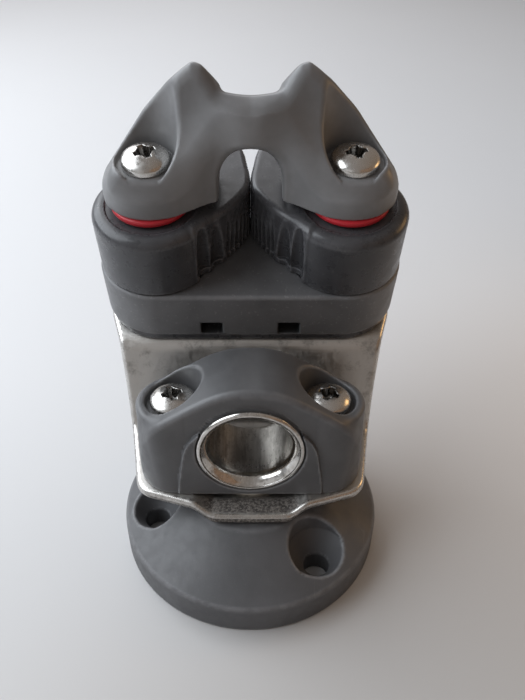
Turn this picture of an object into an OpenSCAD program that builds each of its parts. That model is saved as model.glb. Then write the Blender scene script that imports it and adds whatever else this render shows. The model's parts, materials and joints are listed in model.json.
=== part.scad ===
// Swivelling cam cleat with a stainless-lined fairlead and a bridge fairlead.
// Origin: swivel axis on the underside of the base. +Z up, -Y is the load side
// that the lined fairlead faces, the cleat stands over +Y.

/* [Base] */
// Diameter of the base disc
base_d = 55; // [52:0.5:60]
// Height of the disc's vertical rim
rim_h = 6.8; // [5:0.1:8]
// Number of mounting holes
hole_n = 3; // [3:1:4]
// Pitch circle diameter of the mounting holes
hole_pcd = 41.4; // [39:0.2:43]
// Diameter of each mounting hole
hole_d = 5.3; // [4:0.1:6]
// Turn of the hole pattern about the swivel axis
hole_turn = -49; // [-60:1:60]

/* [Arm] */
// Thickness of the stainless arm sheet
sheet_t = 2.2; // [1.8:0.1:2.4]
// Angle of the riser between the two flats
riser_a = 72; // [70:1:80]
// Half width of the arm at the fairlead
arm_hw = 24; // [23:0.5:25]

/* [Fairlead] */
// Throat diameter of the stainless liner
throat_d = 16; // [12:0.5:17]
// Outer diameter of the liner's front bead
bead_d = 21; // [19.5:0.5:21.5]
// Height of the saddle crest over its seat
saddle_h = 25.6; // [24:0.2:27]
// Screw spacing of the fairlead
fl_pitch = 30.8; // [30:0.2:32]

/* [Cleat] */
// Screw spacing of the cleat
pitch = 38; // [37:0.5:39]
// Tilt of the cleat, raised at the back
tilt = 14; // [10:1:18]
// Thickness of the cleat base moulding
plinth_h = 11.5; // [10:0.5:12]
// Radius of each cam drum
drum_r = 11.8; // [11:0.1:12]
// Height of each cam
cam_h = 13.7; // [12:0.1:13.7]
// Teeth grooves on each cam
teeth_n = 7; // [5:1:8]
// Turns of each return spring
turns = 4; // [3:1:5]

/* [Bridge] */
// Width of the rope doorway
door_w = 11.6; // [10:0.2:13]
// Height of the doorway's crown over the cleat seat
door_top = 39.4; // [38:0.2:40]

/* [Hidden] */
$fn = 64;
hub_z = 14.2;
hub_r = 13.5;
seat_z = 19;          // top of the arm's lower flat
press_z = 17;         // floor of the pressed seat round the swivel
bore_z = seat_z + 11.75;
flx = fl_pitch / 2;
fly = 0.6;
fl_head = 35.0;
px = pitch / 2;
cy = 27.6;            // cleat frame origin: underside of the cleat base
cz = 43.4;
pad_t = 2;
cam_w0 = plinth_h + 0.3;
cam_w1 = cam_w0 + cam_h;
foot_w = 27.0;
head_w = 34.5;
post_r = 4.0;
ball_r = 1.2;
ball_pr = 9.7;
ball_n = 18;

function arc(c, r, a0, a1, n) = [for (i = [0:n]) let (a = a0 + (a1 - a0) * i / n) [c[0] + r * cos(a), c[1] + r * sin(a)]];
function unit(v) = v / norm(v);
// rounds the corners of a closed outline of [x, y, r]
function rounded(p, n = 5) = [for (i = [0:len(p) - 1])
  let (a = p[(i + len(p) - 1) % len(p)], b = p[i], c = p[(i + 1) % len(p)],
       u = unit([a[0] - b[0], a[1] - b[1]]), v = unit([c[0] - b[0], c[1] - b[1]]),
       h = acos(max(-1, min(1, u * v))) / 2, t = b[2] < 0.01 ? 0 : b[2] / tan(h),
       s = [b[0], b[1]] + u * t, e = [b[0], b[1]] + v * t,
       m = [b[0], b[1]] + unit(u + v) * (b[2] < 0.01 ? 0 : b[2] / sin(h)))
  each (b[2] < 0.01 ? [[b[0], b[1]]] :
    let (a0 = atan2(s[1] - m[1], s[0] - m[0]), d0 = atan2(e[1] - m[1], e[0] - m[0]) - a0,
         d = d0 > 180 ? d0 - 360 : (d0 < -180 ? d0 + 360 : d0))
    [for (k = [0:n]) m + b[2] * [cos(a0 + d * k / n), sin(a0 + d * k / n)]])];
function mir(p) = concat(p, [for (i = [len(p) - 1:-1:0]) if (abs(p[i][0]) > 0.001) [-p[i][0], p[i][1], p[i][2]]]);

module cleat() { translate([0, cy, cz]) rotate([tilt, 0, 0]) children(); }
module both(x, y = 0) { for (s = [-1, 1]) translate([s * x, y, 0]) children(); }
module ring(ro, ri, h) { difference() { cylinder(r = ro, h = h); translate([0, 0, -1]) cylinder(r = ri, h = h + 2); } }

// ---- base ----
module base_disc() {
  color([0.27, 0.27, 0.28]) difference() {
    rotate_extrude($fn = 128) polygon([[0, 0], [base_d / 2 - 0.4, 0], [base_d / 2, 0.4],
      [base_d / 2, rim_h - 0.5], [base_d / 2 - 0.5, rim_h + 0.1], [hub_r + 0.6, hub_z - 0.1], [hub_r, hub_z], [0, hub_z]]);
    translate([0, 0, -1]) cylinder(r = 5, h = 20);
    translate([0, 0, -1]) cylinder(r = 10, h = 4);
    for (i = [0:hole_n - 1]) rotate([0, 0, hole_turn + i * 360 / hole_n]) translate([hole_pcd / 2, 0, 0]) {
      translate([0, 0, -1]) cylinder(d = hole_d, h = 20);
      translate([0, 0, 4.8]) cylinder(r1 = hole_d / 2, r2 = 5.9, h = 4.4);
      translate([0, 0, 9.19]) cylinder(r = 5.9, h = 15);
    }
  }
}
module pivot_post() {
  color([0.75, 0.75, 0.76]) { translate([0, 0, 0.8]) cylinder(r = 9.5, h = 2.2); translate([0, 0, 2.9]) cylinder(r = 5, h = 14.65); translate([0, 0, 17.5]) cylinder(r = 3, h = 1.5); }
}
module pivot_cap() { color([0.75, 0.75, 0.76]) translate([0, 0, 17.56]) ring(7.4, 3, 1.4); }
module lower_thrust_washer() { color([0.85, 0.85, 0.82]) translate([0, 0, hub_z]) ring(9, 5.05, 0.55); }

// ---- arm ----
function up(u, w) = [cy + u * cos(tilt) - w * sin(tilt), cz + u * sin(tilt) + w * cos(tilt)];
ry0 = 10.2;           // where the riser's face meets the lower flat
pt = up(0, -pad_t);
rk = 1 / tan(riser_a);
kz = (pt[1] + (ry0 - rk * seat_z - pt[0]) * tan(tilt)) / (1 - rk * tan(tilt));
ky = ry0 + (kz - seat_z) * rk;
ends = up(16, -pad_t);
nv = sheet_t;
module arm_section() {
  // top line then the same line one sheet thickness below
  lowk = [ry0 + nv * tan(riser_a / 2), seat_z - nv];
  topk = [ky + nv * tan((riser_a + tilt) / 2) * 0 + nv * cos(90 - (riser_a + tilt) / 2) / cos((riser_a - tilt) / 2),
          kz - nv * sin(90 - (riser_a + tilt) / 2) / cos((riser_a - tilt) / 2)];
  polygon(rounded([[-20, seat_z, 0], [ry0, seat_z, 2.6], [ky, kz, 5.0], [ends[0], ends[1], 0],
    [ends[0] + nv * sin(tilt), ends[1] - nv * cos(tilt), 0], [topk[0], topk[1], 2.8], [lowk[0], lowk[1], 4.8], [-20, seat_z - nv, 0]]));
}
module arm_outline() {
  polygon(rounded(mir([[0, -13.2, 0], [7.4, -13.1, 1.5], [12, -11.3, 6], [arm_hw - 1, -7.8, 5], [arm_hw + 3.1, 14, 30],
    [30.6, 25, 8], [30.6, 28.3, 0], [19, 28.3, 0], [19, 39.9, 0], [0, 39.9, 0]]), n = 5));
  both(px, 28.3) circle(r = 11.6);
}
module press_cut(r, hw, z0, z1) {
  // round seat about the swivel with a channel out to the front edge
  h = z1 - z0;
  translate([0, 0, z0]) cylinder(r1 = r, r2 = r + h * 0.8, h = h);
  translate([0, 0, 0]) rotate([90, 0, 0]) linear_extrude(height = 20) polygon([[-hw, z0], [hw, z0], [hw + h * 2.2, z1], [-hw - h * 2.2, z1]]);
}
module arm_plate() {
  color([0.72, 0.72, 0.72]) difference() {
    intersection() {
      union() {
        translate([-40, 0, 0]) rotate([90, 0, 90]) linear_extrude(height = 80) arm_section();
        press_cut(9.4, 7.3, press_z - sheet_t, seat_z - sheet_t + 0.02);
      }
      linear_extrude(height = 80) arm_outline();
    }
    press_cut(8.0, 7.2, press_z, seat_z + 0.02);
    press_top();
    translate([0, 0, 10]) cylinder(r = 6, h = 12);
    both(flx, fly) translate([0, 0, 10]) cylinder(r = 2.7, h = 15);
    cleat() both(px) translate([0, 0, -10]) cylinder(r = 2.7, h = 12);
  }
}
// clears the sheet above the pressed seat
module press_top() { translate([0, 0, seat_z + 0.01]) cylinder(r = 9.6, h = 3); translate([-11.6, -20, seat_z + 0.01]) cube([23.2, 20, 3]); }
module pivot_bush() { color([0.9, 0.9, 0.86]) translate([0, 0, press_z - sheet_t]) ring(6, 5.05, sheet_t); }
module upper_thrust_washer() { color([0.85, 0.85, 0.82]) translate([0, 0, press_z]) ring(7.6, 5.05, 0.5); }

// ---- lined fairlead ----
module saddle_front() {
  // arch of the saddle as seen from the front
  k = saddle_h / 25.6;
  polygon(rounded(mir([for (q = [[0, 25.6, 0], [5.5, 24.9, 8], [8.5, 23.6, 8], [11, 22.1, 0], [15.4, 19.4, 0], [17.5, 17.9, 4], [20, 15.4, 4], [22, 11.6, 4], [23, 6, 0], [23, 0, 0]])
    [q[0], seat_z + q[1] * k, q[2]]]), n = 3));
}
module fairlead_body() {
  color([0.27, 0.27, 0.28]) difference() {
    union() {
      intersection() {
        translate([0, 20, 0]) rotate([90, 0, 0]) linear_extrude(height = 40) saddle_front();
        linear_extrude(height = 80) union() {
          both(14.6, -0.9) circle(r = 8.2);
          translate([-14.6, -9.1]) square([29.2, 16.1]);
        }
        // slightly raked front face, level crest
        translate([-40, 0, 0]) rotate([90, 0, 90]) linear_extrude(height = 80)
          polygon([[-9.1, seat_z], [8, seat_z], [8, 43.5], [6.5, 45], [-5.6, 45], [-7.2, 42.5]]);
      }
      both(flx, fly - 0.2) translate([0, 0, seat_z]) cylinder(r = 7.3, h = 17.3);
    }
    both(flx, fly) {
      translate([0, 0, 10]) cylinder(r = 2.7, h = 30);
      translate([0, 0, fl_head]) cylinder(r = 5.3, h = 20);
    }
    translate([0, 0, bore_z]) rotate([90, 0, 0]) translate([0, 0, -20]) cylinder(r = throat_d / 2 + 0.9, h = 40);
    translate([0, -7.9, bore_z]) rotate([90, 0, 0]) cylinder(r = bead_d / 2 + 0.1, h = 4);
    translate([0, 12.4, bore_z]) rotate([90, 0, 0]) cylinder(r = bead_d / 2 - 0.5, h = 6);
    translate([0, 0, seat_z - 1]) cylinder(r = 8.4, h = 1.8);
  }
}
module fairlead_liner() {
  t = throat_d / 2; b = bead_d / 2;
  color([0.8, 0.8, 0.8]) translate([0, 0, bore_z]) rotate([90, 0, 0]) rotate_extrude($fn = 96)
    polygon([[t + 0.9, -6.4], [t + 0.9, 7.9], [b - 0.6, 8.0], [b - 0.1, 8.3], [b, 8.7], [b - 0.2, 9.1], [b - 0.6, 9.25], [t + 1.5, 9.1],
      [t + 0.88, 8.6], [t + 0.3, 7.7], [t, 6.4], [t, -4.4], [t + 0.3, -5.8], [t + 1, -6.9], [b - 1, -7.2], [b - 0.6, -6.9], [b - 0.6, -6.4]]);
}
// pan head screw with a cross recess; the head's underside is at z = 0
module screw(len, hr = 4.5) {
  color([0.8, 0.8, 0.8]) difference() {
    union() {
      cylinder(r = hr, h = 0.9);
      translate([0, 0, 0.9]) rotate_extrude($fn = 48) polygon(concat([[0, 0], [hr, 0]], [for (a = [10:10:80]) [hr * cos(a), 2.0 * sin(a)]], [[0, 2.0]]));
      translate([0, 0, -len]) cylinder(r = 2.5, h = len + 0.1);
    }
    for (a = [0, 90]) rotate([0, 0, a]) translate([-1.9, -0.5, 1.1]) cube([3.8, 1.0, 3]);
  }
}
module fairlead_screws() { both(flx, fly) translate([0, 0, fl_head]) screw(19.6); }
module fairlead_press_nuts() {
  color([0.72, 0.72, 0.72]) both(flx, fly) translate([0, 0, seat_z - sheet_t - 1.5]) ring(3.4, 2.5, 1.5);
}

// ---- cleat ----
module pill(r, h) { linear_extrude(height = h) { both(px) circle(r = r, $fn = 96); translate([-px, -r]) square([pitch, 2 * r]); } }
module riser_pad() {
  color([0.24, 0.24, 0.25]) cleat() difference() {
    translate([0, 0, -pad_t]) pill(11.7, pad_t);
    both(px) translate([0, 0, -5]) cylinder(r = 2.7, h = 10);
  }
}
module cleat_base() {
  color([0.25, 0.25, 0.26]) cleat() difference() {
    pill(12.1, plinth_h);
    both(px) {
      translate([0, 0, -1]) cylinder(r = post_r, h = 20);
      translate([0, 0, -1]) cylinder(r = 6.5, h = 2.2);
      translate([0, 0, plinth_h + 0.35]) rotate_extrude() translate([ball_pr, 0]) circle(r = ball_r + 0.03, $fn = 32);
      translate([0, 0, plinth_h - 3]) ring(8.2, 5.0, 5);
    }
    for (s = [-1, 1]) translate([s * 8 - 2.15, -13, 0.5]) cube([4.3, 5, 3.2]);
  }
}
module cam_post(s) {
  color([0.75, 0.75, 0.76]) cleat() translate([s * px, 0, 0]) difference() {
    union() { cylinder(r = post_r, h = foot_w); cylinder(r = 6.5, h = 1.2); }
    translate([0, 0, -1]) cylinder(r = 2.55, h = 40);
  }
}
module cam_post_left() { cam_post(-1); }
module cam_post_right() { cam_post(1); }
module cap_washer(s) { color([0.75, 0.1, 0.12]) cleat() translate([s * px, 0, cam_w1 + 0.3]) ring(7.8, post_r + 0.05, foot_w - cam_w1 - 0.3); }
module cap_washer_left() { cap_washer(-1); }
module cap_washer_right() { cap_washer(1); }
module balls(s) {
  color([0.8, 0.8, 0.8]) cleat() translate([s * px, 0, plinth_h + 0.35])
    for (i = [0:ball_n - 1]) rotate([0, 0, i * 360 / ball_n]) translate([ball_pr, 0, 0]) sphere(r = ball_r, $fn = 24);
}
module balls_left() { balls(-1); }
module balls_right() { balls(1); }

// jaw outline about its pivot, +x towards the rope line, +y to the back
face = [[7.6, -8.8], [9.4, -6.6], [11.4, -4.6], [13.6, -2.6], [15.6, -0.2], [17.3, 2.4], [18.4, 4.8], [18.83, 7.0], [18.8, 9.0]];
module jaw() {
  polygon(concat(face, [[18.55, 11.4], [18.25, 14.0], [17.9, 16.5], [17.2, 18.4], [15.8, 19.3], [13.4, 19.0], [9, 16.6], [4, 13.2], [0, 5]]));
}
module cam_solid() {
  difference() {
    union() {
      rotate_extrude($fn = 96) polygon([[0, cam_w0], [drum_r, cam_w0], [drum_r, cam_w1 - 1.6], [drum_r - 0.5, cam_w1 - 0.5], [drum_r - 1.6, cam_w1], [0, cam_w1]]);
      translate([0, 0, cam_w0 + 0.2]) linear_extrude(height = cam_h - 1.4) jaw();
      translate([0, 0, cam_w0 + 1]) linear_extrude(height = cam_h - 1.4) intersection() { jaw(); translate([-0.7, -0.6]) jaw(); }
    }
    // rope teeth: grooves along the face
    for (i = [0:teeth_n - 1]) let (k = i + 0.7, j = floor(k), f = k - j, p = face[j] * (1 - f) + face[j + 1] * f)
      translate([p[0], p[1], cam_w0 - 1]) cylinder(r = 0.75, h = cam_h - 1.6, $fn = 16);
    translate([0, 0, cam_w0 - 1]) cylinder(r = post_r + 0.05, h = 30);
    translate([0, 0, cam_w0 - 1]) ring(8.2, 5.0, 8.6);
    translate([0, 0, plinth_h + 0.35]) rotate_extrude() translate([ball_pr, 0]) circle(r = ball_r + 0.03, $fn = 32);
  }
}
module cam_left() { color([0.16, 0.16, 0.17]) cleat() translate([-px, 0, 0]) cam_solid(); }
module cam_right() { color([0.16, 0.16, 0.17]) cleat() translate([px, 0, 0]) mirror([1, 0, 0]) cam_solid(); }

// return spring: a round wire swept along a coil
module coil(R, r, h, n) {
  m = 8; st = 20 * n;
  pts = [for (i = [0:st]) let (a = 360 * n * i / st) for (k = [0:m - 1]) let (b = 360 * k / m)
    [(R + r * cos(b)) * cos(a), (R + r * cos(b)) * sin(a), h * i / st + r * sin(b)]];
  fc = concat([for (i = [0:st - 1]) for (k = [0:m - 1]) [i * m + k, (i + 1) * m + k, (i + 1) * m + (k + 1) % m, i * m + (k + 1) % m]],
    [[for (k = [0:m - 1]) k]], [[for (k = [m - 1:-1:0]) st * m + k]]);
  polyhedron(pts, fc, convexity = 6);
}
module spring(s) {
  color([0.7, 0.7, 0.7]) cleat() translate([s * px, 0, plinth_h - 2.2]) scale([-s, 1, 1]) coil(6.6, 0.55, 8.6, turns);
}
module spring_left() { spring(-1); }
module spring_right() { spring(1); }

module cleat_screws() { cleat() both(px) translate([0, 0, head_w]) screw(head_w + pad_t + sheet_t + 7.2); }
module cleat_washers() { color([0.75, 0.75, 0.76]) cleat() both(px) translate([0, 0, -pad_t - sheet_t - 1]) ring(5, 2.6, 1); }
module cleat_nuts() {
  color([0.75, 0.75, 0.76]) cleat() both(px) translate([0, 0, -pad_t - sheet_t - 5.8]) difference() {
    union() { translate([0, 0, 1.4]) cylinder(r = 4.6, h = 3.4, $fn = 6); cylinder(r = 3.9, h = 1.5); }
    translate([0, 0, -1]) cylinder(r = 2.5, h = 10);
    translate([0, 0, 0.3]) cylinder(r = 3.4, h = 1.1);
  }
}
module nut_lock_rings() { color([0.2, 0.3, 0.6]) cleat() both(px) translate([0, 0, -pad_t - sheet_t - 5.5]) ring(3.4, 2.5, 1.1); }

// ---- bridge ----
module bridge_front() {
  polygon(rounded(mir([[0, foot_w, 0], [28.3, foot_w, 1], [28.6, 30, 2], [24.3, 35.8, 8], [17.0, 45.6, 8], [10.2, 51.7, 1.6], [7.8, 50.3, 1.4], [5.0, 46.2, 2], [0, 45.4, 0]])));
}
module bridge_plan() {
  both(px, 1.4) circle(r = 9.2);
  polygon(rounded(mir([[0, -3.6, 0], [5.8, -3.0, 0], [15.2, -7.0, 0], [19, -7.8, 0], [19, 10.6, 0], [0, 10, 0]])));
}
module bridge() {
  color([0.27, 0.27, 0.28]) cleat() difference() {
    intersection() {
      translate([0, 20, 0]) rotate([90, 0, 0]) linear_extrude(height = 40) bridge_front();
      linear_extrude(height = 80) bridge_plan();
      translate([-40, 0, 0]) rotate([90, 0, 90]) linear_extrude(height = 80)
        polygon([[-8, foot_w], [-8, 35], [-6.5, 36.6], [-3.6, 41.2], [-1.2, 43.6], [2.6, 49.0], [4.2, 51.2], [5.8, 51.2], [7.6, 49], [10.6, 38], [10.6, foot_w]]);
    }
    // rope doorway
    translate([0, 20, 0]) rotate([90, 0, 0]) linear_extrude(height = 40) {
      translate([0, door_top - door_w / 2]) circle(d = door_w);
      translate([-door_w / 2, foot_w - 1]) square([door_w, door_top - door_w / 2 - foot_w + 1]);
    }
    both(px) {
      translate([0, 0, 20]) cylinder(r = 2.6, h = 30);
      translate([0, 0, head_w]) cylinder(r = 5.4, h = 20);
    }
  }
}

base_disc();
pivot_post();
pivot_cap();
lower_thrust_washer();
arm_plate();
pivot_bush();
upper_thrust_washer();
fairlead_body();
fairlead_liner();
fairlead_screws();
fairlead_press_nuts();
riser_pad();
cleat_base();
cam_post_left();
cam_post_right();
cap_washer_left();
cap_washer_right();
bridge();
cleat_screws();
cleat_washers();
cleat_nuts();
nut_lock_rings();
cam_left();
cam_right();
balls_left();
balls_right();
spring_left();
spring_right();
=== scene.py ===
"""Looks for the swivelling cam cleat. Every shown moulding is a distance field meshed here, in millimetres in the part's own frame, then scaled to metres; turned pieces are fine lathes."""
import json
import math

import bpy
import numpy as np
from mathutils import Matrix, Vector

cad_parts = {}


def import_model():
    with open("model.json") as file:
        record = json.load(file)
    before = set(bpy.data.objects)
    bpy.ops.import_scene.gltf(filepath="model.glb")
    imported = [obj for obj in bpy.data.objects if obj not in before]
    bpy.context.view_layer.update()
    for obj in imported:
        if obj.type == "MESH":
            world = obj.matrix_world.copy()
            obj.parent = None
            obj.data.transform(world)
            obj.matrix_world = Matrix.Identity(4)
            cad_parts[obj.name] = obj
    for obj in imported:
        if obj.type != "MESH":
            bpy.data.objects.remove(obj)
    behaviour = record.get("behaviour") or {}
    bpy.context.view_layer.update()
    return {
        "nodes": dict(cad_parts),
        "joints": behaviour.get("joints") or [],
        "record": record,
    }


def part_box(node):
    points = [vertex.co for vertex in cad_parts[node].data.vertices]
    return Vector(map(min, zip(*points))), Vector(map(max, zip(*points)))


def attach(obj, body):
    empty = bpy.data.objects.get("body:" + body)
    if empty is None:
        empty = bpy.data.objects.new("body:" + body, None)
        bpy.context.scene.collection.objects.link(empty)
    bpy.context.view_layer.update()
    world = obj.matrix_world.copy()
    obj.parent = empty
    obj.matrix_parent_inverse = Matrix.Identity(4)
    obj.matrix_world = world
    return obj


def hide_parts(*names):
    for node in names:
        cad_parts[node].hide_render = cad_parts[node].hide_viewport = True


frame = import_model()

MM = 0.001
joints = {j["name"]: j for j in frame["joints"]}


def mm_box(node):
    lo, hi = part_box(node)
    return np.array(lo) * 1000, np.array(hi) * 1000


# ---------------------------------------------------------------- anchors, mm
base_lo, base_hi = mm_box("base_disc")
R_BASE, HUB_Z = base_hi[0], base_hi[2]
SEAT_Z = mm_box("fairlead_body")[0][2]
PCD = next(m for m in frame["record"]["mounts"] if m["name"] == "base_bolts")["dims"]["pcd_mm"]
BORE_Z = next(m for m in frame["record"]["mounts"] if m["name"] == "fairlead_bore")["pos_m"][2] * 1000
THROAT = next(m for m in frame["record"]["mounts"] if m["name"] == "fairlead_bore")["dims"]["r_mm"]
W = np.array(joints["cam_left_pivot"]["axis"])
X = np.array([1.0, 0.0, 0.0])
U = np.cross(W, X)
PX = joints["cam_right_pivot"]["pos_m"][0] * 1000
O = np.array([0, *joints["cam_right_pivot"]["pos_m"][1:]]) * 1000 - 18.65 * W
FLX, FLY, FL_HEAD = 15.4, 0.6, SEAT_Z + 16.0
HOLES = [math.radians(a) for a in (-49, 71, 191)]
PLINTH, HEAD_W, FOOT = 11.5, 34.5, 27.0
CAM0, CAM1 = 11.8, 25.5


def world(p):
    return p


def cleat(p):
    return O + p[:, :1] * X + p[:, 1:2] * U + p[:, 2:3] * W


# ---------------------------------------------------------------- distance fields
def rmax(a, b, r):
    return np.minimum(-r, np.maximum(a, b)) + np.hypot(np.maximum(a + r, 0), np.maximum(b + r, 0))


def rmin(a, b, r):
    return -rmax(-a, -b, r)


def step(a, b, x):
    t = np.clip((x - a) / (b - a), 0, 1)
    return t * t * (3 - 2 * t)


def rounded(p, n=8):
    """Fillets the corners of a closed outline of (x, y, r)."""
    out = []
    for i in range(len(p)):
        a, b, c = (np.array(p[k % len(p)][:2], float) for k in (i - 1, i, i + 1))
        r = p[i][2] if len(p[i]) > 2 else 0
        if r < 0.01:
            out.append(b)
            continue
        u, v = (a - b) / np.linalg.norm(a - b), (c - b) / np.linalg.norm(c - b)
        h = math.acos(max(-1, min(1, float(u @ v)))) / 2
        s, e = b + u * r / math.tan(h), b + v * r / math.tan(h)
        m = b + (u + v) / np.linalg.norm(u + v) * r / math.sin(h)
        a0 = math.atan2(*(s - m)[::-1])
        d = (math.atan2(*(e - m)[::-1]) - a0 + math.pi) % (2 * math.pi) - math.pi
        out += [m + r * np.array([math.cos(a0 + d * k / n), math.sin(a0 + d * k / n)]) for k in range(n + 1)]
    return np.array(out)


def mir(p):
    return list(p) + [(-q[0], *q[1:]) for q in reversed(p) if abs(q[0]) > 1e-3]


def chaikin(p, n=3):
    p = np.array(p, float)
    for _ in range(n):
        q = np.roll(p, -1, 0)
        p = np.stack([0.75 * p + 0.25 * q, 0.25 * p + 0.75 * q], 1).reshape(-1, 2)
    return p


def poly_distance(x, y, p):
    d, inside = np.full(x.shape, 1e9), np.zeros(x.shape, bool)
    for a, b in zip(p, np.roll(p, -1, 0)):
        e = b - a
        l2 = e @ e
        if l2 < 1e-12:
            continue
        wx, wy = x - a[0], y - a[1]
        t = np.clip((wx * e[0] + wy * e[1]) / l2, 0, 1)
        d = np.minimum(d, (wx - e[0] * t) ** 2 + (wy - e[1] * t) ** 2)
        if abs(e[1]) > 1e-12:
            inside ^= ((a[1] > y) != (b[1] > y)) & (x < e[0] * (y - a[1]) / e[1] + a[0])
    return np.where(inside, -1, 1) * np.sqrt(d)


class Outline:
    """Distance to a closed outline, kept on a fine grid and read smoothly."""

    def __init__(self, pts, h=0.2, pad=5.0, soft=0.0):
        pts = np.array(pts, float)[:, :2]
        self.lo, self.h = pts.min(0) - pad, h
        n = np.ceil((pts.max(0) + pad - self.lo) / h).astype(int) + 1
        gx, gy = np.meshgrid(self.lo[0] + h * np.arange(n[0]), self.lo[1] + h * np.arange(n[1]), indexing="ij")
        g = poly_distance(gx, gy, pts)
        if soft:
            k = np.arange(-int(3 * soft / h), int(3 * soft / h) + 1) * h
            k = np.exp(-(k ** 2) / (2 * soft ** 2))
            k /= k.sum()
            m = len(k) // 2
            for ax in (0, 1):
                q = np.pad(g, [(m, m) if a == ax else (0, 0) for a in (0, 1)], mode="edge")
                g = sum(w * (q[i : i + n[0]] if ax == 0 else q[:, i : i + n[1]]) for i, w in enumerate(k))
        self.g = np.pad(g, 2, mode="edge")
        self.n = n

    def __call__(self, x, y):
        fx, fy = (x - self.lo[0]) / self.h, (y - self.lo[1]) / self.h
        cx, cy = np.clip(fx, 0, self.n[0] - 1.001), np.clip(fy, 0, self.n[1] - 1.001)
        ix, iy = cx.astype(int), cy.astype(int)
        out, wx, wy = 0, self._w(cx - ix), self._w(cy - iy)
        for i in range(4):
            row = 0
            for j in range(4):
                row = row + wy[j] * self.g[ix + i + 1, iy + j + 1]
            out = out + wx[i] * row
        return out + self.h * np.hypot(fx - cx, fy - cy)

    @staticmethod
    def _w(t):
        return (-0.5 * t + t * t - 0.5 * t ** 3, 1 - 2.5 * t * t + 1.5 * t ** 3, 0.5 * t + 2 * t * t - 1.5 * t ** 3, -0.5 * t * t + 0.5 * t ** 3)


def cyl(x, y, r, cx=0.0, cy=0.0):
    return np.hypot(x - cx, y - cy) - r


def box3(x, y, z, c, half):
    q = np.stack([np.abs(x - c[0]) - half[0], np.abs(y - c[1]) - half[1], np.abs(z - c[2]) - half[2]])
    return np.linalg.norm(np.maximum(q, 0), axis=0) + np.minimum(q.max(0), 0)


def capsule(x, y, z, a, b, ra, rb):
    """A tapered rod from a to b."""
    a, b = np.array(a, float), np.array(b, float)
    e = b - a
    t = np.clip(((x - a[0]) * e[0] + (y - a[1]) * e[1] + (z - a[2]) * e[2]) / (e @ e), 0, 1)
    return np.sqrt((x - a[0] - e[0] * t) ** 2 + (y - a[1] - e[1] * t) ** 2 + (z - a[2] - e[2] * t) ** 2) - (ra + (rb - ra) * t)


# ---------------------------------------------------------------- meshing
def field_grid(f, lo, hi, h, block=8):
    """Samples f on a grid, with full detail only near the surface."""
    lo, hi = np.array(lo, float) - 2 * h, np.array(hi, float) + 2 * h
    nb = np.ceil((hi - lo) / (h * block)).astype(int)
    c = np.stack(np.meshgrid(*[lo[k] + h * block * (np.arange(nb[k]) + 0.5) for k in range(3)], indexing="ij"), -1).reshape(-1, 3)
    d = f(c[:, 0], c[:, 1], c[:, 2])
    near = np.nonzero(np.abs(d) < h * block * 0.87 * 1.6 + 1.0)[0]
    n = nb * block + 1
    g = np.repeat(np.repeat(np.repeat(d.reshape(nb), block, 0), block, 1), block, 2)
    g = np.pad(g, ((0, 1),) * 3, mode="edge").astype(float)
    off = np.arange(block + 1)
    o = np.stack(np.meshgrid(off, off, off, indexing="ij"), -1).reshape(-1, 3)
    start = np.stack(np.unravel_index(near, nb), -1) * block
    for s in range(0, len(start), 400):
        idx = (start[s : s + 400, None] + o[None]).reshape(-1, 3)
        q = lo + idx * h
        g[idx[:, 0], idx[:, 1], idx[:, 2]] = f(q[:, 0], q[:, 1], q[:, 2])
    return g, lo, n


def gradient(f, p, e):
    out = np.empty_like(p)
    for k in range(3):
        s = np.zeros(3)
        s[k] = e
        a, b = p + s, p - s
        out[:, k] = (f(a[:, 0], a[:, 1], a[:, 2]) - f(b[:, 0], b[:, 1], b[:, 2])) / (2 * e)
    return out


def surface_nets(g):
    inside = g < 0
    n = np.array(g.shape)
    c = [inside[i : n[0] - 1 + i, j : n[1] - 1 + j, k : n[2] - 1 + k] for i in (0, 1) for j in (0, 1) for k in (0, 1)]
    total = sum(x.astype(np.int8) for x in c)
    cells = np.stack(np.nonzero((total > 0) & (total < 8)), -1)
    index = np.full(n - 1, -1, np.int64)
    index[tuple(cells.T)] = np.arange(len(cells))
    corner = [(i, j, k) for i in (0, 1) for j in (0, 1) for k in (0, 1)]
    v = {q: g[cells[:, 0] + q[0], cells[:, 1] + q[1], cells[:, 2] + q[2]] for q in corner}
    acc, cnt = np.zeros((len(cells), 3)), np.zeros(len(cells))
    for a in corner:
        for ax in range(3):
            if a[ax]:
                continue
            b = list(a)
            b[ax] = 1
            va, vb = v[a], v[tuple(b)]
            cross = (va < 0) != (vb < 0)
            t = np.where(cross, va / np.where(cross, va - vb, 1), 0)
            p = np.tile(np.array(a, float), (len(cells), 1))
            p[:, ax] = t
            acc += p * cross[:, None]
            cnt += cross
    verts = cells + acc / cnt[:, None]
    faces = []
    for ax in range(3):
        u, w = (ax + 1) % 3, (ax + 2) % 3
        lo = [slice(None)] * 3
        lo[ax] = slice(0, n[ax] - 1)
        hi = [slice(None)] * 3
        hi[ax] = slice(1, n[ax])
        a, b = inside[tuple(lo)], inside[tuple(hi)]
        e = np.stack(np.nonzero(a != b), -1)
        e = e[(e[:, u] > 0) & (e[:, w] > 0) & (e[:, u] < n[u] - 1) & (e[:, w] < n[w] - 1)]
        start = a[tuple(e.T)]
        quad = []
        for du, dw in ((-1, -1), (0, -1), (0, 0), (-1, 0)):
            q = e.copy()
            q[:, u] += du
            q[:, w] += dw
            quad.append(index[tuple(q.T)])
        quad = np.stack(quad, -1)
        quad[~start] = quad[~start][:, ::-1]
        faces.append(quad)
    return verts, np.concatenate(faces)


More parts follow.
